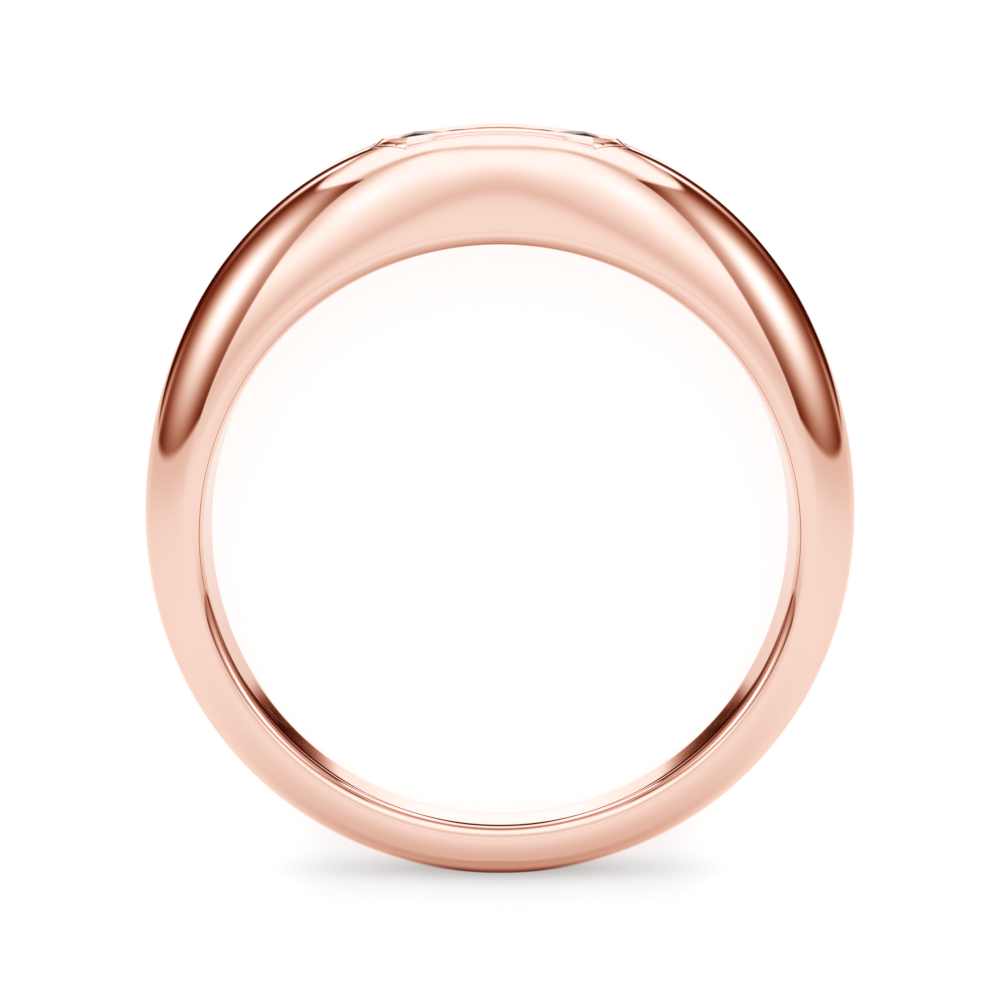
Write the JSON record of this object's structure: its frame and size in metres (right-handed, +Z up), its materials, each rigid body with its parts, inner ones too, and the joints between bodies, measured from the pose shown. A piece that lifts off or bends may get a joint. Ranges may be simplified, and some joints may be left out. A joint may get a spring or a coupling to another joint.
{
  "type": "bezel set ring",
  "caption": "Domed, tapered metal finger ring that lies on its side, with a long octagonal step-cut stone held flush in a low bezel along the band.",
  "frame": {"origin": "middle of the ring's bounding box, on the surface that it lies on", "axes": "+Z up from the surface, +Y from the finger hole towards the stone, +X across the ring. The finger hole's axis leans 8.6 degrees from +Z towards -Y, as the wide top tips the ring when it lies on its side."},
  "size_m": [0.021, 0.0224, 0.0079],
  "materials": {
    "rose_gold": "high polish, pink gold alloy",
    "clear_stone": "cut and polished, colourless"
  },
  "bodies": {
    "root": {"band": "rose_gold", "stone": "clear_stone"}
  },
  "joints": []
}
